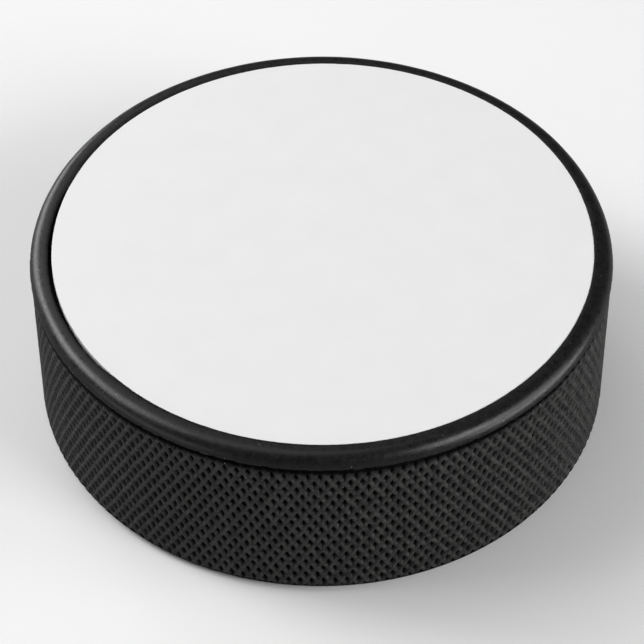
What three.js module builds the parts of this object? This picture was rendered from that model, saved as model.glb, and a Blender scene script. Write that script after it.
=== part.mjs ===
// Ice hockey puck with a blank white face, in millimetres, +Z up, origin at the centre of the underside.
// The puck is one rubber moulding. Its top has a shallow recess for a thin white printable disc, which
// an adhesive film holds down. Every piece is turned about the puck's axis.
import * as THREE from "three";

// ---- Driving dimensions ----------------------------------------------------------------------
const INCH = 25.4;
const puckDiameter = 3 * INCH; // regulation diameter, measured at the shoulders' lips
const puckThickness = 1 * INCH; // regulation thickness

const shoulderRadius = 2.05; // rounding between the top and the side
const shoulderSweep = THREE.MathUtils.degToRad(80); // how far that rounding turns before its lip

const partingGrooveWidth = 0.85; // the groove where the mould's upper plate meets its knurled ring
const partingGrooveDepth = 0.9; // from the puck's largest radius in to the groove's floor
const gripInset = 0.12; // how far the knurled band's crests lie inside the largest radius
const footRadius = 1.85; // rounding between the knurled band and the underside

const rimWidth = 0.35; // flat black ring left between the shoulder and the recess
const faceThickness = 1; // white printable sheet
const filmThickness = 0.1; // double-sided adhesive film under it
const faceSetback = 0.03; // how far the face lies below the rim, so that the rubber takes the wear
const faceClearance = 0.25; // radial room for the face in its recess
const filmMargin = 0.4; // how far the film stops short of the face's edge

const roundSegments = 96; // facets round every turned piece
const arcDivisions = 3; // half the facets along the shoulder and along the foot

// ---- Sizes that follow from them -------------------------------------------------------------
const puckRadius = puckDiameter / 2;
const flatRadius = puckRadius - shoulderRadius * Math.sin(shoulderSweep);
const lipDrop = shoulderRadius * (1 - Math.cos(shoulderSweep)); // from the top to the shoulder's lip
const gripRadius = puckRadius - gripInset;
const grooveRadius = puckRadius - partingGrooveDepth;
const gripTop = puckThickness - lipDrop - partingGrooveWidth;
const footCentre = gripRadius - footRadius;

const recessRadius = flatRadius - rimWidth;
const recessDepth = filmThickness + faceThickness + faceSetback;
const recessFloor = puckThickness - recessDepth;
const filmTop = recessFloor + filmThickness;
const faceTop = filmTop + faceThickness;
const faceRadius = recessRadius - faceClearance;
const filmRadius = faceRadius - filmMargin;

// The sheet was laid by hand, hard over to one side of its recess, and took the film with it.
const faceOffCentre = 0.8 * faceClearance;
const faceOffDirection = THREE.MathUtils.degToRad(12); // from +X towards +Y

// ---- Finishes ----------------------------------------------------------------------------------
const rubber = new THREE.MeshStandardMaterial({ color: 0x1c1c1c, roughness: 0.55, metalness: 0 });
const whiteSheet = new THREE.MeshStandardMaterial({ color: 0xebebeb, roughness: 0.7, metalness: 0 });
const clearFilm = new THREE.MeshStandardMaterial({ color: 0xd8d4c8, roughness: 0.4, metalness: 0 });

// ---- Shapes --------------------------------------------------------------------------------------
// Turns an outline of (radius, height) points, which starts and ends on the axis, about the puck's axis.
function turned(name, outline, material) {
  const geometry = new THREE.LatheGeometry(outline.getPoints(arcDivisions), roundSegments);
  geometry.rotateX(Math.PI / 2);
  const mesh = new THREE.Mesh(geometry, material);
  mesh.name = name;
  return mesh;
}

// A flat disc between two heights.
function disc(name, radius, bottom, top, material) {
  const outline = new THREE.Path();
  outline.moveTo(0, bottom);
  outline.lineTo(radius, bottom);
  outline.lineTo(radius, top);
  outline.lineTo(0, top);
  return turned(name, outline, material);
}

// The rubber moulding: underside, foot, grip band, parting groove, shoulder, rim, recess.
function puckBody() {
  const outline = new THREE.Path();
  const down = -Math.PI / 2; // the arc angles at which the foot leaves the underside and the shoulder ends
  const up = Math.PI / 2;
  const shoulderCentre = puckThickness - shoulderRadius;
  outline.moveTo(0, 0);
  outline.lineTo(footCentre, 0);
  outline.absarc(footCentre, footRadius, footRadius, down, 0, false);
  outline.lineTo(gripRadius, gripTop);
  outline.lineTo(grooveRadius, gripTop);
  outline.lineTo(grooveRadius, puckThickness - lipDrop);
  outline.lineTo(puckRadius, puckThickness - lipDrop);
  outline.absarc(flatRadius, shoulderCentre, shoulderRadius, up - shoulderSweep, up, false);
  outline.lineTo(recessRadius, puckThickness);
  outline.lineTo(recessRadius, recessFloor);
  outline.lineTo(0, recessFloor);
  return turned("puck_body", outline, rubber);
}

// The printable face and its adhesive film, one above the other and both off centre by the same amount.
function faceStack() {
  const stack = new THREE.Group();
  stack.add(disc("adhesive_film", filmRadius, recessFloor, filmTop, clearFilm));
  stack.add(disc("face_disc", faceRadius, filmTop, faceTop, whiteSheet));
  stack.position.x = faceOffCentre * Math.cos(faceOffDirection);
  stack.position.y = faceOffCentre * Math.sin(faceOffDirection);
  return stack;
}

const puck = new THREE.Group();
puck.add(puckBody());
puck.add(faceStack());

export default puck;
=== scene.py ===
# %% [markdown]
# # An ice hockey puck with a blank white face
#
# A puck is one piece of hard black rubber, 3 in across and 1 in thick. Its side has a pressed diamond
# grip, and this one has a white printable sheet glued into its top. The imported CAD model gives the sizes;
# this lesson builds the rubber, the grip and the sheet round it, finishes them and lights them.

# %% Load the frame
import math

import bmesh
import bpy
from mathutils import Matrix, Vector, noise


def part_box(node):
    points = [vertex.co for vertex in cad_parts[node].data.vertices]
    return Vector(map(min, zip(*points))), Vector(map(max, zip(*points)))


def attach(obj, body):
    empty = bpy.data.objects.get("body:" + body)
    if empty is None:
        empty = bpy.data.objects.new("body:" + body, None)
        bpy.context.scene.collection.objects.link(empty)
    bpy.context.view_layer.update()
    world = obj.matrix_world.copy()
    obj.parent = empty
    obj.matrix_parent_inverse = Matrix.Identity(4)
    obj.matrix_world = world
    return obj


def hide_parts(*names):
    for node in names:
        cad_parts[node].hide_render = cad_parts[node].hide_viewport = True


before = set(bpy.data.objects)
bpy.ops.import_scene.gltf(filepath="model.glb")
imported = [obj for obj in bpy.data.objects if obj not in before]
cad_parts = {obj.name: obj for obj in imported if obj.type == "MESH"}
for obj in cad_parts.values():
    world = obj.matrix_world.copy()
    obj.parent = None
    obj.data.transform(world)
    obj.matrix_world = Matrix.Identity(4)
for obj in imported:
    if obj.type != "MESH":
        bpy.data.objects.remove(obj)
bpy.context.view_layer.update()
MM = 0.001
print("CAD pieces:", sorted(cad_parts))

# %% [markdown]
# ## Sizes
#
# Every size starts from the boxes of the CAD pieces: the body's box gives the puck's radius and height, and
# the sheet's box gives its radius, its height and how far it lies off centre. Only the small things that
# the CAD leaves to us, such as the pitch of the grip, get numbers of their own.

# %% Read the sizes off the CAD pieces
body_low, body_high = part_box("puck_body")
sheet_low, sheet_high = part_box("face_disc")
film_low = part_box("adhesive_film")[0]

puck_radius = (body_high.x - body_low.x) / 2
puck_height = body_high.z
sheet_centre = (sheet_low + sheet_high) / 2
sheet_radius = (sheet_high.x - sheet_low.x) / 2
recess_floor = film_low.z
print("puck radius %.2f mm, height %.2f mm" % (puck_radius / MM, puck_height / MM))
print("sheet radius %.2f mm, top at %.2f mm" % (sheet_radius / MM, sheet_high.z / MM))

# %% The moulding's own sizes, as in the CAD model
shoulder_radius = 2.05 * MM
shoulder_sweep = math.radians(80)
groove_width = 0.85 * MM
groove_depth = 0.9 * MM
grip_inset = 0.12 * MM
foot_radius = 1.85 * MM
foot_sweep = math.radians(30)  # how far round the foot the grip reaches

flat_radius = puck_radius - shoulder_radius * math.sin(shoulder_sweep)
lip_drop = shoulder_radius * (1 - math.cos(shoulder_sweep))
grip_top = puck_height - lip_drop - groove_width
grip_bottom = foot_radius * (1 - math.sin(foot_sweep))
crest_radius = puck_radius - grip_inset
print("grip band from %.2f to %.2f mm" % (grip_bottom / MM, grip_top / MM))

# %% [markdown]
# ## The diamond grip
#
# The side is a net of raised ridges that cross on the slant, with a small pit like an upside-down pyramid
# in each diamond. It could be a bump in the material, but then the edge of the puck would stay smooth
# against the light, and the pits would cast no shade. So it is real relief, and because it follows a rule,
# Geometry Nodes make it.
#
# The rule: lay the side out flat and measure it in half pitches, across as p and up as q. Pits lie where
# p + q is even. Ridges run where p + q or p - q is odd. How far a point is from the nearest ridge, from 0 on
# a ridge to 1 in a pit, says how deep it lies. The steel ring that pressed the grip was itself rolled
# in a spiral, so the rows climb a little on their way round, and the columns lean.

# %% Sizes of the grip
pits_round = 160
steps_per_half_pitch = 3
row_pitch = 1.2484 * MM
rows_climbed = 4  # an even number, so that the net meets itself after one turn
column_lean = math.radians(-1.1)
first_pit_angle = math.radians(-90.27)
first_pit_height = 14.55 * MM
pit_depth = 1.30 * MM
ridge_breadth = 2.6  # 1 gives sharp ridges, more gives broad ones with narrow pits

columns = pits_round * 2 * steps_per_half_pitch
print(columns, "columns, %.3f mm wide" % (2 * math.pi * crest_radius / columns / MM))

# Everything that the grip's tree can be told, by the name of its input.
grip_sizes = {
    "Radius": crest_radius,
    "Bottom": grip_bottom,
    "Top": grip_top,
    "Foot Radius": foot_radius,
    "Columns": columns,
    "Steps": steps_per_half_pitch,
    "Row Pitch": row_pitch,
    "Climb": rows_climbed * row_pitch,
    "Lean": column_lean,
    "First Angle": first_pit_angle,
    "First Height": first_pit_height,
    "Pit Depth": pit_depth,
    "Ridge Breadth": ridge_breadth,
    "Unevenness": 0.22,
    "Wander": 0.16 * MM,
    "Edge Drop": 0.03 * MM,
    "Seed": 7.0,
}

# %% Helpers that keep a node tree short to write


def socket_of(group, name, kind, value=None):
    """Adds a named input to a group, with a starting value."""
    made = group.interface.new_socket(name=name, in_out="INPUT", socket_type=kind)
    if value is not None:
        made.default_value = value


def plug(tree, socket, value):
    """Links a socket to an input, or sets the input to a plain value."""
    if isinstance(value, bpy.types.NodeSocket):
        tree.links.new(value, socket)
    else:
        socket.default_value = value


def sums(tree):
    """Returns a function that adds a Math node: calc("ADD", a, b), with sockets or numbers."""

    def calc(operation, *values):
        node = tree.nodes.new("ShaderNodeMath")
        node.operation = operation
        for socket, value in zip(node.inputs, values):
            plug(tree, socket, value)
        return node.outputs[0]

    return calc


def tidy(tree):
    """Sets the nodes out in columns, in the order that they were made."""
    for number, node in enumerate(tree.nodes):
        node.location = (220 * (number // 6), -190 * (number % 6))


# %% [markdown]
# The tree starts from a flat grid whose squares are one unit wide, so a point's own position is its column
# and row. The pattern, the split of each square and the pits' shade are worked out while it is still flat,
# and the last step bends it round the axis. Rows that climb past the band's edge are pressed onto the edge,
# and Merge by Distance takes out what that leaves over and sews the two ends together.

# %% Build the grip's tree
grip = bpy.data.node_groups.new("diamond_grip", "GeometryNodeTree")
grip.is_modifier = True
for name, value in grip_sizes.items():
    socket_of(grip, name, "NodeSocketInt" if isinstance(value, int) else "NodeSocketFloat", value)
socket_of(grip, "Material", "NodeSocketMaterial")
grip.interface.new_socket(name="Geometry", in_out="OUTPUT", socket_type="NodeSocketGeometry")

given = grip.nodes.new("NodeGroupInput").outputs
calc = sums(grip)

# Rows enough for the band and for the height that the rows climb.
dz = calc("DIVIDE", given["Row Pitch"], given["Steps"])
span = calc("ADD", calc("SUBTRACT", given["Top"], given["Bottom"]), given["Climb"])
rows = calc("ADD", calc("CEIL", calc("DIVIDE", span, dz)), 2.0)
rows_below = calc("SUBTRACT", calc("ADD", given["First Height"], given["Climb"]), given["Bottom"])
rows_below = calc("CEIL", calc("DIVIDE", rows_below, dz))

grid = grip.nodes.new("GeometryNodeMeshGrid")
plug(grip, grid.inputs["Size X"], given["Columns"])
plug(grip, grid.inputs["Size Y"], calc("SUBTRACT", rows, 1.0))
plug(grip, grid.inputs["Vertices X"], calc("ADD", given["Columns"], 1.0))
plug(grip, grid.inputs["Vertices Y"], rows)

flat = grip.nodes.new("ShaderNodeSeparateXYZ")
grip.links.new(grip.nodes.new("GeometryNodeInputPosition").outputs[0], flat.inputs[0])
column = calc("ADD", flat.outputs["X"], calc("MULTIPLY", given["Columns"], 0.5))
row = calc("ADD", flat.outputs["Y"], calc("MULTIPLY", calc("SUBTRACT", rows, 1.0), 0.5))
row = calc("SUBTRACT", row, rows_below)

# Height on the side: the row's own, raised as the rows climb, and pressed onto the band's edges.
share = calc("DIVIDE", column, given["Columns"])
raised = calc("MULTIPLY", share, given["Climb"])
height = calc("ADD", calc("ADD", given["First Height"], calc("MULTIPLY", row, dz)), raised)
snap = calc("MULTIPLY", dz, 0.3)
over = calc("GREATER_THAN", height, calc("SUBTRACT", given["Top"], snap))
under = calc("LESS_THAN", height, calc("ADD", given["Bottom"], snap))
inside = calc("SUBTRACT", calc("SUBTRACT", 1.0, over), under)
height = calc("MULTIPLY", height, inside)
height = calc("ADD", height, calc("MULTIPLY", over, given["Top"]))
height = calc("ADD", height, calc("MULTIPLY", under, given["Bottom"]))

# Shy is 0 on the band's two edges and 1 one step away from them.
edge = calc("MINIMUM", calc("SUBTRACT", given["Top"], height), calc("SUBTRACT", height, given["Bottom"]))
shy = calc("MINIMUM", calc("DIVIDE", edge, dz), 1.0)

# The same point in half pitches, and how far it is from the nearest ridge.
p = calc("DIVIDE", column, given["Steps"])
q = calc("SUBTRACT", calc("SUBTRACT", height, given["First Height"]), raised)
q = calc("DIVIDE", q, given["Row Pitch"])
to_rising = calc("ABSOLUTE", calc("SUBTRACT", calc("FLOORED_MODULO", calc("ADD", p, q), 2.0), 1.0))
to_falling = calc("SUBTRACT", calc("FLOORED_MODULO", calc("SUBTRACT", p, q), 2.0), 1.0)
from_ridge = calc("MINIMUM", to_rising, calc("ABSOLUTE", to_falling))
hollow_and_painted_shade = calc("POWER", from_ridge, given["Ridge Breadth"])

# Squares are split along the ridge that crosses them, rising in one half pitch and falling in the next.
flat_q = calc("DIVIDE", row, given["Steps"])
parity = calc("FLOORED_MODULO", calc("ADD", calc("FLOOR", p), calc("FLOOR", flat_q)), 2.0)
falling = calc("LESS_THAN", parity, 0.5)
split_falling = grip.nodes.new("GeometryNodeTriangulate")
split_falling.quad_method = "FIXED_ALTERNATE"
split_rising = grip.nodes.new("GeometryNodeTriangulate")
split_rising.quad_method = "FIXED"
grip.links.new(grid.outputs["Mesh"], split_falling.inputs["Mesh"])
grip.links.new(falling, split_falling.inputs["Selection"])
grip.links.new(split_falling.outputs["Mesh"], split_rising.inputs["Mesh"])


def stored(geometry, name, value):
    """Stores a value on every point, under a name that the material can read."""
    node = grip.nodes.new("GeometryNodeStoreNamedAttribute")
    node.data_type = "FLOAT"
    node.domain = "POINT"
    node.inputs["Name"].default_value = name
    grip.links.new(geometry, node.inputs["Geometry"])
    plug(grip, node.inputs["Value"], value)
    return node.outputs["Geometry"]


# Painted shade: the pits and the band's two edges are marked here, and the rubber's finish paints them near
# black with less sheen.
shade = calc("MAXIMUM", hollow_and_painted_shade, calc("SUBTRACT", 1.0, shy))
marked = stored(split_rising.outputs["Mesh"], "hollow_and_painted_shade", shade)
marked = stored(marked, "grip", 1.0)

# Round the axis.
lean = calc("DIVIDE", calc("SUBTRACT", height, given["First Height"]), given["Radius"])
lean = calc("MULTIPLY", lean, calc("TANGENT", given["Lean"]))
turn = calc("ADD", given["First Angle"], calc("MULTIPLY", share, 2 * math.pi))
turn = calc("ADD", turn, lean)


def on_side(radius, turn, height):
    """The point at that radius, angle and height."""
    node = grip.nodes.new("ShaderNodeCombineXYZ")
    grip.links.new(calc("MULTIPLY", calc("COSINE", turn), radius), node.inputs["X"])
    grip.links.new(calc("MULTIPLY", calc("SINE", turn), radius), node.inputs["Y"])
    grip.links.new(height, node.inputs["Z"])
    return node.outputs[0]


even = on_side(given["Radius"], turn, height)


def uneven(scale, detail, shift=0.0):
    """A seeded pattern, from about -1 to 1, that meets itself after one turn; scale is per metre."""
    node = grip.nodes.new("ShaderNodeTexNoise")
    node.noise_dimensions = "4D"
    node.inputs["Scale"].default_value = scale
    node.inputs["Detail"].default_value = detail
    grip.links.new(even, node.inputs["Vector"])
    grip.links.new(calc("ADD", given["Seed"], shift), node.inputs["W"])
    return calc("MULTIPLY", calc("SUBTRACT", node.outputs[0], 0.5), 2.0)


# The ring was engraved by hand-fed rolls: ridges wander a little, pits differ in depth, crests are nicked.
wander_scale = 420.0
pit_scale = 650.0
patch_scale = 90.0
nick_scale = 2300.0
nick_depth = 0.05 * MM
nick_rarity = 0.3
edge_depth_share = 0.75  # how deep a pit on the band's edge is, against one inside it
aside = calc("MULTIPLY", uneven(wander_scale, 1.0, 3.0), given["Wander"])
turn = calc("ADD", turn, calc("DIVIDE", aside, given["Radius"]))
upward = calc("MULTIPLY", uneven(wander_scale, 1.0, 5.0), given["Wander"])
height = calc("ADD", height, calc("MULTIPLY", upward, shy))
worn = calc("ADD", uneven(pit_scale, 1.0), uneven(patch_scale, 1.0))
worn = calc("MULTIPLY", worn, given["Unevenness"])
depth = calc("MULTIPLY", calc("MULTIPLY", hollow_and_painted_shade, given["Pit Depth"]), calc("ADD", 1.0, worn))
kept = calc("ADD", edge_depth_share, calc("MULTIPLY", shy, 1 - edge_depth_share))
depth = calc("MULTIPLY", depth, kept)
depth = calc("ADD", depth, calc("MULTIPLY", calc("SUBTRACT", 1.0, shy), given["Edge Drop"]))
nicks = calc("MULTIPLY", calc("SUBTRACT", uneven(nick_scale, 0.0), nick_rarity), nick_depth)
depth = calc("SUBTRACT", depth, calc("MINIMUM", nicks, 0.0))
bend = grip.nodes.new("GeometryNodeSetPosition")
grip.links.new(marked, bend.inputs["Geometry"])

# The side is upright, and near its foot it curves in under the puck.
below = calc("MAXIMUM", calc("SUBTRACT", given["Foot Radius"], height), 0.0)
curved = calc("SUBTRACT", calc("POWER", given["Foot Radius"], 2.0), calc("POWER", below, 2.0))
side = calc("SUBTRACT", given["Radius"], given["Foot Radius"])
side = calc("ADD", side, calc("SQRT", calc("MAXIMUM", curved, 0.0)))
finished = on_side(calc("SUBTRACT", side, depth), turn, height)
grip.links.new(finished, bend.inputs["Position"])

sewing_distance = 0.002 * MM
sew = grip.nodes.new("GeometryNodeMergeByDistance")
sew.inputs["Distance"].default_value = sewing_distance
smooth = grip.nodes.new("GeometryNodeSetShadeSmooth")
realize = grip.nodes.new("GeometryNodeRealizeInstances")
finish = grip.nodes.new("GeometryNodeSetMaterial")
grip.links.new(bend.outputs[0], sew.inputs[0])
grip.links.new(sew.outputs[0], smooth.inputs[0])
grip.links.new(smooth.outputs[0], realize.inputs[0])
grip.links.new(realize.outputs[0], finish.inputs["Geometry"])
grip.links.new(given["Material"], finish.inputs["Material"])
grip.links.new(finish.outputs[0], grip.nodes.new("NodeGroupOutput").inputs[0])
tidy(grip)
print("grip tree:", len(grip.nodes), "nodes")

# %% [markdown]
# The tree is run once, on an empty mesh, and its result is kept as a plain mesh, because the rest of the
# moulding is sewn onto it. All its inputs are set before that first run.

# %% Run the tree


def made_by_nodes(name, group, values):
    """Evaluates a node group on an empty mesh and returns the result as a mesh without modifiers."""
    holder = bpy.data.objects.new(name + "_maker", bpy.data.meshes.new(name + "_maker"))
    bpy.context.scene.collection.objects.link(holder)
    modifier = holder.modifiers.new(name, "NODES")
    modifier.node_group = group
    for item in group.interface.items_tree:
        if item.in_out == "INPUT" and item.name in values:
            modifier[item.identifier] = values[item.name]
    evaluated = holder.evaluated_get(bpy.context.evaluated_depsgraph_get())
    mesh = bpy.data.meshes.new_from_object(evaluated)
    mesh.name = name
    bpy.data.objects.remove(holder)
    return mesh


rubber = bpy.data.materials.new("moulded_rubber")
band_mesh = made_by_nodes("grip_band", grip, {**grip_sizes, "Material": rubber})
print("grip band:", len(band_mesh.vertices), "points,", len(band_mesh.polygons), "triangles")

# %% [markdown]
# ## Where the sheet lies in the rubber
#
# The sheet was cut by hand and glued down slightly to one side. The rubber closes on its edge nearly all
# the way round, and on the open side it leaves a crevice. Both pieces need the same line, so one function
# gives the sheet's edge and a second one, which starts from it, gives the edge of the recess.

# %% The sheet's edge and the recess's edge
cut_short = 0.10 * MM
cut_waver = 0.05 * MM
cut_serration = 0.020 * MM
hug = 0.02 * MM
crevice_width = 0.52 * MM
crevice_angle = math.radians(-168)
crevice_half_angle = math.radians(31)
crevice_waver = 0.15
recess_limit = flat_radius - 0.20 * MM


def wander(angle, waves, seed):
    """A smooth random line round the puck, from about -1 to 1, with about that many waves."""
    reach = waves / (2 * math.pi)
    return 2 * noise.noise(Vector((reach * math.cos(angle), reach * math.sin(angle), seed)))


def sheet_edge(angle):
    """How far the sheet reaches from its own centre at an angle."""
    waver = cut_waver * wander(angle, 9, 3.3)
    serration = cut_serration * (wander(angle, 210, 5.1) + wander(angle, 420, 8.7))
    return sheet_radius - cut_short + waver - abs(serration)


def recess_edge(angle):
    """How far the rubber's edge is from the puck's axis at an angle."""
    across = sheet_centre.x * math.cos(angle) + sheet_centre.y * math.sin(angle)
    aside = sheet_centre.y * math.cos(angle) - sheet_centre.x * math.sin(angle)
    sheet_here = across + math.sqrt(sheet_edge(angle) ** 2 - aside**2)
    apart = math.remainder(angle - crevice_angle, 2 * math.pi) / crevice_half_angle
    opening = crevice_width * max(0.0, 1 - apart**4)
    opening *= 1 + crevice_waver * wander(angle, 60, 1.9)
    return min(sheet_here + hug + opening, recess_limit)


# %% [markdown]
# ## The rest of the moulding
#
# Above the grip the rubber was pressed by a smooth plate, and below it the grip curves in under the puck and
# gives way to the plain underside. Each end is turned: an outline of stations, from the grip's edge to the
# axis, is repeated at every column of the grip, so the meshes meet point to point. The upper plate met the
# ring at the parting groove. Rubber crept into that joint and was trimmed away, which leaves the groove
# ragged, bridged in a few places and torn in others.

# %% Flaws of the parting groove
flaws = (  # angle from the front in degrees, half width in degrees, how far the groove is filled
    (-47.0, 1.2, 0.9),
    (-14.0, 0.8, 0.5),
    (4.0, 1.6, 0.55),
    (17.5, 0.6, 0.45),
    (71.0, 1.0, 0.8),
    (118.0, 1.4, 0.6),
    (163.0, 0.9, 0.9),
    (-96.0, 1.1, 0.6),
    (-139.0, 1.8, 0.75),
)


def from_front(angle):
    """Degrees round from the front of the puck, positive to its right."""
    return math.degrees(math.remainder(angle + math.pi / 2, 2 * math.pi))


def filling(angle):
    """How much of the groove is filled with leftover rubber here, from 0 to 1."""
    crumbs = max(0.0, wander(angle, 330, 7.7) - 0.25) * 0.9
    bridges = 0.0
    for place, half_width, amount in flaws:
        apart = (from_front(angle) - place) / half_width
        bridges = max(bridges, amount * max(0.0, 1 - apart**2))
    return min(1.0, crumbs + bridges)


# %% Stations of the two turned ends
arc_steps = 12
foot_steps = 5


def at(radius, drop):
    """A station that is the same all the way round."""
    return lambda angle: (radius, drop)


def shoulder_stations():
    """(radius, drop from the top) functions of the angle, from the groove over the shoulder to the rim."""
    slow_dent = 0.018 * MM
    lip_waver = 0.08 * MM
    floor_radius = puck_radius - groove_depth
    fill_radius = crest_radius - 0.10 * MM

    def groove(radius, drop):
        def place(angle):
            fill = filling(angle)
            return radius + fill * (fill_radius - radius), drop

        return place

    def lip(radius, drop):
        def place(angle):
            ragged = wander(angle, 240, 2.1) + 0.6 * wander(angle, 560, 3.9)
            return radius - 0.4 * lip_waver * abs(ragged), drop + lip_waver * ragged

        return place

    def arc(turned):
        def place(angle):
            swell = 1 + wander(angle, 23, turned) + 0.5 * wander(angle, 70, turned + 9)
            rounding = shoulder_radius - slow_dent * math.sin(turned) * swell
            return flat_radius + rounding * math.sin(turned), shoulder_radius - rounding * math.cos(turned)

        return place

    bottom = lip_drop + groove_width
    stations = [
        groove(floor_radius + 0.10 * MM, bottom + 0.02 * MM),
        groove(floor_radius, bottom - 0.15 * MM),
        groove(floor_radius + 0.04 * MM, lip_drop + 0.10 * MM),
        lip(puck_radius - 0.10 * MM, lip_drop + 0.035 * MM),
        lip(puck_radius - 0.004 * MM, lip_drop),
    ]
    for number in range(1, arc_steps + 1):
        stations.append(arc(shoulder_sweep * (1 - number / arc_steps)))
    return stations


def foot_stations():
    """(radius, height) functions, from the grip's lower edge round the foot and in under the puck."""
    stations = []
    for number in range(1, foot_steps + 1):
        turned = foot_sweep + (math.pi / 2 - foot_sweep) * number / foot_steps
        radius = crest_radius - foot_radius * (1 - math.cos(turned))
        stations.append(at(radius, foot_radius * (1 - math.sin(turned))))
    return stations + [at(flat_radius * 0.72, 0.0), at(flat_radius * 0.36, 0.0)]


def recess_stations():
    """From the rim down the recess's wall and across its floor."""
    deep = puck_height - recess_floor
    rounding = 0.05 * MM
    return [
        lambda angle: (recess_edge(angle) + rounding, 0.0),
        lambda angle: (recess_edge(angle) + 0.2 * rounding, 0.24 * rounding),
        lambda angle: (recess_edge(angle), rounding),
        lambda angle: (recess_edge(angle), deep),
        at(flat_radius / 2, deep),
    ]


# %% Turn the two ends onto the grip band, point to point, so that the body closes
body_mesh = bmesh.new()
body_mesh.from_mesh(band_mesh)
bpy.data.meshes.remove(band_mesh)


def open_rim(mesh, height):
    """The points of an open edge at that height, in order round the axis."""
    near = 0.001 * MM
    edge = {v for e in mesh.edges if e.is_boundary for v in e.verts if abs(v.co.z - height) < near}
    return sorted(edge, key=lambda v: math.atan2(v.co.y, v.co.x))


def turn_end(mesh, rim, stations, height_of, pole_height, shaded):
    """Adds a ring of points at each station, from a rim to the axis; shaded lists the stations painted as
    shade.
    """
    shade = mesh.verts.layers.float["hollow_and_painted_shade"]
    angles = [math.atan2(v.co.y, v.co.x) for v in rim]
    ring = rim
    for step, station in enumerate(stations):
        following = []
        for angle in angles:
            radius, drop = station(angle)
            point = (radius * math.cos(angle), radius * math.sin(angle), height_of(drop))
            following.append(mesh.verts.new(point))
            following[-1][shade] = float(step in shaded)
        for number in range(len(ring)):
            after = (number + 1) % len(ring)
            mesh.faces.new((ring[number], ring[after], following[after], following[number]))
        ring = following
    pole = mesh.verts.new((0, 0, pole_height))
    for number in range(len(ring)):
        mesh.faces.new((ring[number], ring[(number + 1) % len(ring)], pole))


top_rim = open_rim(body_mesh, grip_top)
bottom_rim = open_rim(body_mesh, grip_bottom)
shoulder = shoulder_stations()
upper = shoulder + recess_stations()
# Painted shade: the groove's stations and the recess below its upper edge are marked, and the finish paints
# them near black.
in_groove = range(3)
in_recess = range(len(shoulder) + 1, len(upper))  # all but the recess's upper edge
painted_shade_stations = {*in_groove, *in_recess}
turn_end(body_mesh, top_rim, upper, lambda drop: puck_height - drop, recess_floor, painted_shade_stations)
turn_end(body_mesh, bottom_rim, foot_stations(), lambda height: height, 0.0, set())
bmesh.ops.recalc_face_normals(body_mesh, faces=body_mesh.faces)
still_open = sum(edge.is_boundary for edge in body_mesh.edges)
print("rims:", len(top_rim), len(bottom_rim), "open edges left:", still_open)

# %% Make it an object


def piece(name, mesh, material, sharp=math.radians(40)):
    """Turns a bmesh into a shaded object in the scene, with creases where it bends sharply."""
    bmesh.ops.triangulate(mesh, faces=[f for f in mesh.faces if len(f.verts) > 4])
    for face in mesh.faces:
        face.smooth = True
    for edge in mesh.edges:
        edge.smooth = len(edge.link_faces) < 2 or edge.calc_face_angle(0) < sharp
    data = bpy.data.meshes.new(name)
    mesh.to_mesh(data)
    mesh.free()
    data.materials.clear()
    data.materials.append(material)
    made = bpy.data.objects.new(name, data)
    bpy.context.scene.collection.objects.link(made)
    triangles = sum(len(face.vertices) - 2 for face in data.polygons)
    print(name, "has", triangles, "triangles")
    return made


moulded_body = piece("moulded_body", body_mesh, rubber, math.radians(75))

# %% [markdown]
# ## The white sheet
#
# A disc of white plastic sheet, a millimetre thick. A plain cylinder would look stamped out of nothing:
# the real one was sheared, so its edge wavers and shows a fine serration, and its top corner is dragged
# down a little.

# %% Cut the sheet
white_sheet = bpy.data.materials.new("white_sheet")


def cut_sheet(columns_round):
    """A closed disc whose edge follows sheet_edge, with a rolled-over top corner."""
    mesh = bmesh.new()
    drag = 0.06 * MM
    thick = sheet_high.z - sheet_low.z

    def circle(radius_at, drop):
        """A ring of points round the sheet's centre, some way below its top."""
        points = []
        for number in range(columns_round):
            angle = 2 * math.pi * number / columns_round
            across = Vector((math.cos(angle), math.sin(angle), 0)) * radius_at(angle)
            place = (sheet_centre.x + across.x, sheet_centre.y + across.y, sheet_high.z - drop)
            points.append(mesh.verts.new(place))
        return points

    rings = [  # how far in from the cut edge, and how far below the top
        (0.05 * MM, thick),
        (0.0, thick - 0.04 * MM),
        (0.0, 1.5 * drag),
        (0.3 * drag, 0.5 * drag),
        (1.0 * drag, 0.1 * drag),
        (2.2 * drag, 0.0),
    ]
    circles = []
    for inset, drop in rings:
        circles.append(circle(lambda angle: sheet_edge(angle) - inset, drop))
    for share in (0.66, 0.33):
        circles.append(circle(lambda angle: sheet_radius * share, 0.0))
    for inner, outer in zip(circles[1:], circles):
        for number in range(columns_round):
            after = (number + 1) % columns_round
            mesh.faces.new((outer[number], outer[after], inner[after], inner[number]))
    for ring, height in ((circles[0], sheet_low.z), (circles[-1], sheet_high.z)):
        pole = mesh.verts.new((sheet_centre.x, sheet_centre.y, height))
        for number in range(columns_round):
            mesh.faces.new((ring[number], ring[(number + 1) % columns_round], pole))
    bmesh.ops.recalc_face_normals(mesh, faces=mesh.faces)
    return mesh


face_sheet = piece("face_sheet", cut_sheet(960), white_sheet)

# %% [markdown]
# ## Effects that several finishes share
#
# Fine grain, dust and small scuffs turn up on the rubber, the sheet and the film, in different
# amounts. Each is a shader node group with named inputs, built once and placed with its own values.

# %% Grain
grain = bpy.data.node_groups.new("fine_grain", "ShaderNodeTree")
socket_of(grain, "Coarse Size", "NodeSocketFloat", 1.0)
socket_of(grain, "Fine Size", "NodeSocketFloat", 0.2)
socket_of(grain, "Fine Share", "NodeSocketFloat", 0.5)
for name in ("Height", "Cloud"):
    grain.interface.new_socket(name=name, in_out="OUTPUT", socket_type="NodeSocketFloat")


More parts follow.
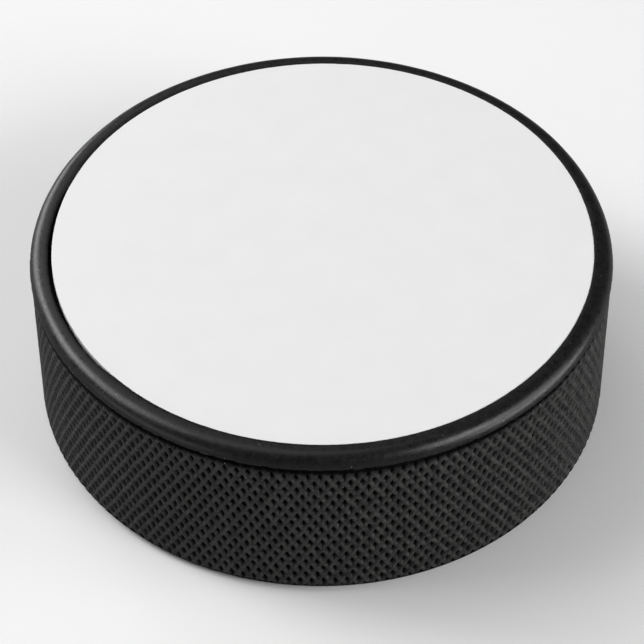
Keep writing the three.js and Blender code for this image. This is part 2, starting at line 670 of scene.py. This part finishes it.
def pattern(tree, kind, size, detail, shift=0.0):
    """A noise or cell pattern on Object coordinates; size is in millimetres."""
    calc = sums(tree)
    where = tree.nodes.new("ShaderNodeTexCoord").outputs["Object"]
    moved = tree.nodes.new("ShaderNodeMapping")
    moved.inputs["Location"].default_value = (shift, -shift, 0.7 * shift)
    tree.links.new(where, moved.inputs["Vector"])
    node = tree.nodes.new(kind)
    tree.links.new(moved.outputs[0], node.inputs["Vector"])
    plug(tree, node.inputs["Scale"], calc("DIVIDE", 1 / MM, size))
    node.inputs["Detail"].default_value = detail
    return node


given = grain.nodes.new("NodeGroupInput").outputs
calc = sums(grain)
coarse = pattern(grain, "ShaderNodeTexNoise", given["Coarse Size"], 3.0).outputs[0]
fine = pattern(grain, "ShaderNodeTexNoise", given["Fine Size"], 2.0, 0.31).outputs[0]
mixed = calc("ADD", coarse, calc("MULTIPLY", calc("SUBTRACT", fine, coarse), given["Fine Share"]))
out = grain.nodes.new("NodeGroupOutput")
grain.links.new(mixed, out.inputs["Height"])
grain.links.new(coarse, out.inputs["Cloud"])
tidy(grain)

# %% Dust and crumbs
dust = bpy.data.node_groups.new("dust_specks", "ShaderNodeTree")
socket_of(dust, "Speck Size", "NodeSocketFloat", 0.5)
socket_of(dust, "Reach", "NodeSocketFloat", 0.12)
socket_of(dust, "Amount", "NodeSocketFloat", 0.2)
dust.interface.new_socket(name="Mask", in_out="OUTPUT", socket_type="NodeSocketFloat")
given = dust.nodes.new("NodeGroupInput").outputs
calc = sums(dust)
cells = pattern(dust, "ShaderNodeTexVoronoi", given["Speck Size"], 0.0, 1.7)
chance = dust.nodes.new("ShaderNodeSeparateColor")
dust.links.new(cells.outputs["Color"], chance.inputs[0])
chosen = calc("LESS_THAN", chance.outputs[0], given["Amount"])
near = calc("DIVIDE", cells.outputs["Distance"], calc("MULTIPLY", given["Reach"], chance.outputs[1]))
near = calc("MAXIMUM", calc("SUBTRACT", 1.0, near), 0.0)
near = calc("MINIMUM", calc("MULTIPLY", near, 2.0), 1.0)
strength = calc("MULTIPLY", calc("MULTIPLY", near, chosen), chance.outputs[2])
dust.links.new(strength, dust.nodes.new("NodeGroupOutput").inputs["Mask"])
tidy(dust)
print("shared effects:", grain.name, "and", dust.name)

# %% [markdown]
# ## Rubber
#
# Vulcanised rubber filled with carbon black has nearly no colour of its own, so what the eye reads is its
# sheen. The plate left the shoulder fairly smooth, and the ring left the grip duller. Handling scuffs the
# grip's crests grey. The pits, the band's edges, the parting groove and the crevice round the sheet get
# painted shade: a near-black colour and less sheen. The "grip" and "hollow_and_painted_shade" values that
# were stored on the mesh tell the material which is which.

# %% Helpers for the finishes


def start_material(material):
    """Gives a material an empty tree with a Principled shader, and returns (tree, shader, calc)."""
    material.use_nodes = True
    tree = material.node_tree
    tree.nodes.clear()
    shader = tree.nodes.new("ShaderNodeBsdfPrincipled")
    output = tree.nodes.new("ShaderNodeOutputMaterial")
    tree.links.new(shader.outputs[0], output.inputs["Surface"])
    return tree, shader, sums(tree)


def placed(tree, group, **values):
    """Places a shared effect in a material with its own values; an underscore stands for a space."""
    node = tree.nodes.new("ShaderNodeGroup")
    node.node_tree = group
    for name, value in values.items():
        plug(tree, node.inputs[name.replace("_", " ")], value)
    return node.outputs


def between(tree, factor, low, high):
    """A colour between two, by a factor."""
    node = tree.nodes.new("ShaderNodeMix")
    node.data_type = "RGBA"
    plug(tree, node.inputs["Factor"], factor)
    # A Mix node keeps its colour sockets behind those for numbers and vectors.
    for socket, value in ((node.inputs[6], low), (node.inputs[7], high)):
        plug(tree, socket, value if isinstance(value, bpy.types.NodeSocket) else (*value, 1.0))
    return node.outputs[2]


def bumped(tree, shader, height, distance, strength=1.0):
    """Adds a Bump node for a height of 0 to 1 that stands for distance metres."""
    node = tree.nodes.new("ShaderNodeBump")
    node.inputs["Strength"].default_value = strength
    node.inputs["Distance"].default_value = distance
    tree.links.new(height, node.inputs["Height"])
    tree.links.new(node.outputs[0], shader.inputs["Normal"])


def read(tree, name):
    """Reads a value that was stored on the mesh."""
    node = tree.nodes.new("ShaderNodeAttribute")
    node.attribute_name = name
    return node.outputs["Fac"]


# %% Finish the rubber
plate_roughness = 0.27
blotch_roughness = 0.10
grip_roughness = 0.07
hollow_roughness = 0.45
plate_sheen = 0.41
sheen_cut_for_painted_shade = 0.25
grain_height = 0.022 * MM
coarser_on_grip = 1.8

tree, shader, calc = start_material(rubber)
skin = placed(tree, grain, Coarse_Size=0.9, Fine_Size=0.22, Fine_Share=0.5)
specks = placed(tree, dust, Speck_Size=0.8, Reach=0.19, Amount=0.45)["Mask"]
crest = calc("POWER", calc("SUBTRACT", 1.0, read(tree, "hollow_and_painted_shade")), 2.0)
rubbed = calc("MULTIPLY", read(tree, "grip"), crest)

# Blotches: the grain with its contrast raised, from 0 to 1.
blotch = calc("MULTIPLY", calc("SUBTRACT", skin["Height"], 0.40), 5.0)
blotch = calc("MINIMUM", calc("MAXIMUM", blotch, 0.0), 1.0)
black = between(tree, blotch, (0.0050, 0.0050, 0.0052), (0.0105, 0.0103, 0.0100))
scuffed = between(tree, blotch, (0.009, 0.009, 0.009), (0.060, 0.059, 0.057))
black = between(tree, rubbed, black, scuffed)
# Painted shade: the pits, the band's edges, the groove and the crevice get a near-black colour for the shade
# in them.
black = between(tree, read(tree, "hollow_and_painted_shade"), black, (0.001, 0.001, 0.001))
black = between(tree, specks, black, (0.22, 0.22, 0.215))
tree.links.new(black, shader.inputs["Base Color"])
matt = calc("ADD", plate_roughness, calc("MULTIPLY", blotch, blotch_roughness))
matt = calc("ADD", matt, calc("MULTIPLY", read(tree, "grip"), grip_roughness))
matt = calc("ADD", matt, calc("MULTIPLY", read(tree, "hollow_and_painted_shade"), hollow_roughness))
tree.links.new(matt, shader.inputs["Roughness"])
# Painted shade: less sheen in the same places.
lost = calc("MULTIPLY", read(tree, "hollow_and_painted_shade"), sheen_cut_for_painted_shade)
tree.links.new(calc("SUBTRACT", plate_sheen, lost), shader.inputs["Specular IOR Level"])
coarser = calc("ADD", 1.0, calc("MULTIPLY", read(tree, "grip"), coarser_on_grip))
bumped(tree, shader, calc("MULTIPLY", skin["Height"], coarser), grain_height)
tidy(tree)
print(rubber.name, "has", len(tree.nodes), "nodes")

# %% [markdown]
# ## White sheet and adhesive film
#
# The sheet is matt white plastic made to take a print: an even white with the faintest clouding, and a fine
# tooth that spreads the light. The film under it is clear adhesive, yellowed a little, and only seen when
# the sheet is peeled; its CAD solid already has the right shape, so it only needs a finish.

# %% Finish the sheet and the film
tree, shader, calc = start_material(white_sheet)
tooth = placed(tree, grain, Coarse_Size=5.0, Fine_Size=0.25, Fine_Share=0.7)
motes = placed(tree, dust, Speck_Size=2.4, Reach=0.05, Amount=0.12)["Mask"]
white = between(tree, tooth["Cloud"], (0.86, 0.86, 0.86), (0.90, 0.90, 0.90))
white = between(tree, motes, white, (0.55, 0.55, 0.54))
tree.links.new(white, shader.inputs["Base Color"])
tree.links.new(calc("ADD", 0.62, calc("MULTIPLY", tooth["Cloud"], 0.2)), shader.inputs["Roughness"])
shader.inputs["Specular IOR Level"].default_value = 0.35
bumped(tree, shader, tooth["Height"], 0.012 * MM, 0.5)
tidy(tree)

adhesive = bpy.data.materials.new("adhesive_film")
tree, shader, calc = start_material(adhesive)
gel = placed(tree, grain, Coarse_Size=3.0, Fine_Size=0.4, Fine_Share=0.3)
amber = between(tree, gel["Cloud"], (0.62, 0.58, 0.46), (0.74, 0.71, 0.60))
tree.links.new(amber, shader.inputs["Base Color"])
tree.links.new(calc("ADD", 0.28, calc("MULTIPLY", gel["Cloud"], 0.2)), shader.inputs["Roughness"])
bumped(tree, shader, gel["Height"], 0.02 * MM)
tidy(tree)
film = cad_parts["adhesive_film"]
film.data.materials.clear()
film.data.materials.append(adhesive)
print("finishes:", rubber.name, white_sheet.name, adhesive.name)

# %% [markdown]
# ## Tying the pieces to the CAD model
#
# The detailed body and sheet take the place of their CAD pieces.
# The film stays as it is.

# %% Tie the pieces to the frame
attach(moulded_body, "root")
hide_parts("puck_body")
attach(face_sheet, "root")
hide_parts("face_disc")

# %% [markdown]
# ## The floor
#
# A plain pale floor. A white one so close would also shine back from the lower half of the shoulder and
# drown its shape. So the floor is pale to the camera, but only a dim grey to the rest of the light.

# %% Floor
floor_reach = 3.0  # metres from the middle to each side
fade_start = 0.25  # metres from the puck's axis
fade_steepness = 3.0  # per metre
room_tone = 0.90  # what the camera sees of the room
room_light = 0.08  # what the room gives to everything else

floor_mesh = bmesh.new()
bmesh.ops.create_grid(floor_mesh, x_segments=1, y_segments=1, size=floor_reach)
floor_paint = bpy.data.materials.new("floor_paint")
tree, shader, calc = start_material(floor_paint)
wash = placed(tree, grain, Coarse_Size=60.0, Fine_Size=4.0, Fine_Share=0.3)
seen = between(tree, wash["Cloud"], (0.95, 0.95, 0.95), (0.98, 0.98, 0.98))
straight = tree.nodes.new("ShaderNodeLightPath").outputs["Is Camera Ray"]
floor_tone = between(tree, straight, (0.33, 0.33, 0.33), seen)

# Past the reach of the lights the floor fades into the pale tone of the room, as a paper sweep does.
away = tree.nodes.new("ShaderNodeVectorMath")
away.operation = "LENGTH"
tree.links.new(tree.nodes.new("ShaderNodeTexCoord").outputs["Object"], away.inputs[0])
far = calc("SUBTRACT", away.outputs["Value"], fade_start)
far = calc("MULTIPLY", far, fade_steepness)
far = calc("MULTIPLY", calc("MINIMUM", calc("MAXIMUM", far, 0.0), 1.0), straight)
tree.links.new(between(tree, far, floor_tone, (0, 0, 0)), shader.inputs["Base Color"])
shader.inputs["Emission Color"].default_value = (1, 1, 1, 1)
tree.links.new(calc("MULTIPLY", far, room_tone), shader.inputs["Emission Strength"])
shader.inputs["Roughness"].default_value = 0.8
shader.inputs["Specular IOR Level"].default_value = 0.0
floor = piece("floor", floor_mesh, floor_paint)

# %% [markdown]
# ## The lights
#
# A ring of soft boxes and strips, as on a product table. Black rubber shows its lights as reflections, so
# their places matter more than their strength: the boxes at the back left draw the long highlight along the
# left shoulder, the box at the right draws the short one there, and the low strips catch the crests of the
# grip.

# %% Lights
light_distance = 0.9  # metres from the middle of the puck


def softbox(name, round_angle, elevation, width, height, power):
    """A rectangular area light facing the puck; round_angle goes from the front towards the right."""
    light = bpy.data.lights.new(name, "AREA")
    light.shape = "RECTANGLE"
    light.size = width
    light.size_y = height
    light.energy = power
    lamp = bpy.data.objects.new(name, light)
    bpy.context.scene.collection.objects.link(lamp)
    across, up = math.radians(round_angle), math.radians(elevation)
    flat = math.cos(up)
    direction = Vector((math.sin(across) * flat, -math.cos(across) * flat, math.sin(up)))
    lamp.matrix_world = direction.to_track_quat("Z", "Y").to_matrix().to_4x4()
    lamp.location = direction * light_distance + Vector((0, 0, puck_height / 2))
    lamp.visible_camera = False
    print(name, power, "W")


softbox("left_upper_box", 262, 48, 0.46, 0.50, 2.5)
softbox("left_lower_box", 246, 31, 0.40, 0.38, 2.8)
softbox("back_box", 203, 42, 0.40, 0.40, 0.5)
softbox("back_strip", 223, 9, 0.60, 0.42, 2.9)
softbox("top_box", 235, 76, 0.60, 0.60, 0.9)
softbox("right_box", 52, 32, 0.34, 0.40, 2.9)
softbox("right_side_box", 80, 26, 0.34, 0.36, 1.2)
softbox("right_strip", 75, 5, 0.80, 0.24, 3.6)
softbox("front_strip", 0, 8, 0.80, 0.28, 0.1)
softbox("left_strip", 300, 8, 0.80, 0.28, 0.8)

# The room is a dim white all round. What the camera sees of it is the same pale tone as the floor.
world = bpy.data.worlds.new("studio")
world.use_nodes = True
room = world.node_tree
background = room.nodes["Background"]
background.inputs["Color"].default_value = (1, 1, 1, 1)
straight = room.nodes.new("ShaderNodeLightPath").outputs["Is Camera Ray"]
calc = sums(room)
strength = calc("ADD", room_light, calc("MULTIPLY", straight, room_tone - room_light))
room.links.new(strength, background.inputs["Strength"])
bpy.context.scene.world = world
bpy.context.scene.view_settings.view_transform = "Standard"

# %% [markdown]
# ## The camera
#
# A long lens from the front and above, at arm's length, aimed almost exactly at the middle of the puck. The
# small turns are those of a camera held by hand.

# %% Camera
camera_elevation = math.radians(45.79)
camera_distance = 383.3 * MM
focal_length = 160.3
sensor_width = 36.0
nod = math.radians(-0.250)
sideways = math.radians(-0.006)
roll = math.radians(-0.279)

backwards = Vector((0, -math.cos(camera_elevation), math.sin(camera_elevation)))
rightwards = Vector((1, 0, 0))
upwards = backwards.cross(rightwards)
level = Matrix((rightwards, upwards, backwards)).transposed()
held = Matrix.Rotation(sideways, 3, "Y") @ Matrix.Rotation(nod, 3, "X") @ Matrix.Rotation(roll, 3, "Z")

lens = bpy.data.cameras.new("camera")
lens.lens = focal_length
lens.sensor_width = sensor_width
lens.clip_start = 10 * MM
camera = bpy.data.objects.new("camera", lens)
bpy.context.scene.collection.objects.link(camera)
camera.matrix_world = (level @ held).to_4x4()
camera.location = backwards * camera_distance + Vector((0, 0, puck_height / 2))
bpy.context.scene.camera = camera
print("camera at", [round(value / MM, 1) for value in camera.location], "mm")
